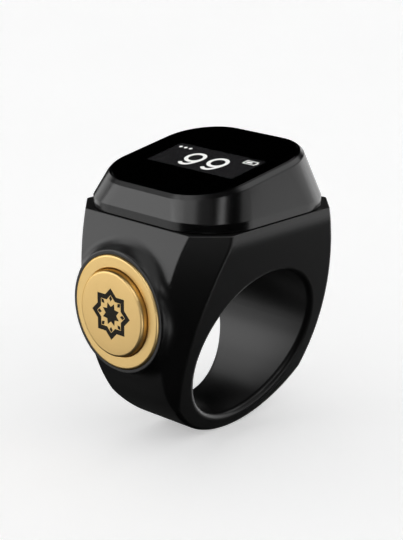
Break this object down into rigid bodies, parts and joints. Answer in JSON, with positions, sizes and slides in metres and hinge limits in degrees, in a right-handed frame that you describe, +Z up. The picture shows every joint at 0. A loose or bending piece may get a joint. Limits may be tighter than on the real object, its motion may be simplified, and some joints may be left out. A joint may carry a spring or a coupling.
{
  "type": "digital tasbih counter ring",
  "caption": "Finger-ring tally counter with a tilted square display in a tapered bezel, a round gold push button on one side and charging contacts on the other.",
  "frame": {"origin": "centre of the finger bore, on its axis midway between the two openings", "axes": "+Y along the finger through the bore, +Z up to the display, -X towards the push button"},
  "size_m": [0.0316, 0.0252, 0.0364],
  "materials": {
    "body_black": "satin black moulding",
    "bezel_black": "satin black moulding, a little smoother than the body",
    "gasket_rubber": "dull black seal",
    "cover_glass": "black-backed glass",
    "adhesive_black": "black adhesive foam",
    "adhesive_clear": "clear adhesive sheet",
    "panel_glass": "dark display glass",
    "silicon": "bare silicon",
    "flex_amber": "amber film with copper tracks",
    "connector_plastic": "heat-proof moulding",
    "board_green": "glass-fibre board with solder mask",
    "chip_epoxy": "moulded chip package",
    "crystal_steel": "small metal can",
    "antenna_ceramic": "white ceramic",
    "passive_ceramic": "fired ceramic with tinned ends",
    "screw_steel": "bright steel",
    "cell_foil": "laminated foil pouch",
    "foam_tape": "double-sided foam",
    "tab_nickel": "nickel strip",
    "motor_steel": "pressed steel",
    "rotor_metal": "dense sintered metal",
    "gold_trim": "satin gold",
    "gold_cap": "satin gold with a dark printed rosette",
    "seal_rubber": "soft black rubber",
    "plunger_plastic": "white moulding",
    "dome_steel": "thin spring steel",
    "pin_brass": "gold-flashed brass",
    "magnet_plate": "nickel-plated magnet"
  },
  "bodies": {
    "counter": {"ring_body": "body_black", "bezel": "bezel_black", "bezel_gasket": "gasket_rubber", "cover_glass": "cover_glass", "glass_tape": "adhesive_black", "display_tape": "adhesive_clear", "display_panel": "panel_glass", "display_driver": "silicon", "display_tail": "flex_amber", "display_connector": "connector_plastic", "main_board": "board_green", "processor_chip": "chip_epoxy", "charger_chip": "chip_epoxy", "crystal_can": "crystal_steel", "chip_antenna": "antenna_ceramic", "passives": "passive_ceramic", "board_screws": "screw_steel", "battery_cell": "cell_foil", "battery_tape": "foam_tape", "battery_tabs": "tab_nickel", "motor_base": "motor_steel", "motor_case": "motor_steel", "motor_shaft": "screw_steel", "trim_ring": "gold_trim", "button_seal": "seal_rubber", "switch_housing": "connector_plastic", "snap_dome": "dome_steel", "switch_board": "board_green", "switch_flex": "flex_amber", "charge_board": "board_green", "charge_flex": "flex_amber", "charge_pins": "pin_brass", "charge_magnets": "magnet_plate"},
    "button": {"button_cap": "gold_cap"},
    "plunger": {"switch_plunger": "plunger_plastic"},
    "rotor": {"motor_rotor": "rotor_metal"}
  },
  "joints": [
    {"name": "button_press", "type": "slide", "parent": "counter", "child": "button", "axis": [1, 0, 0], "range_m": [0, 0.00025], "stiffness_N_per_m": 4800, "springref_m": -0.00008},
    {"name": "plunger_press", "type": "slide", "parent": "counter", "child": "plunger", "axis": [1, 0, 0], "range_m": [0, 0.00025], "deforming": ["snap_dome"]},
    {"name": "rotor_spin", "type": "hinge", "parent": "counter", "child": "rotor", "pos_m": [0.0046, 0, 0.0179], "axis": [0, 0, 1], "continuous": true}
  ],
  "couplings": [
    {"joint": "plunger_press", "follows": "button_press", "ratio": 1}
  ]
}
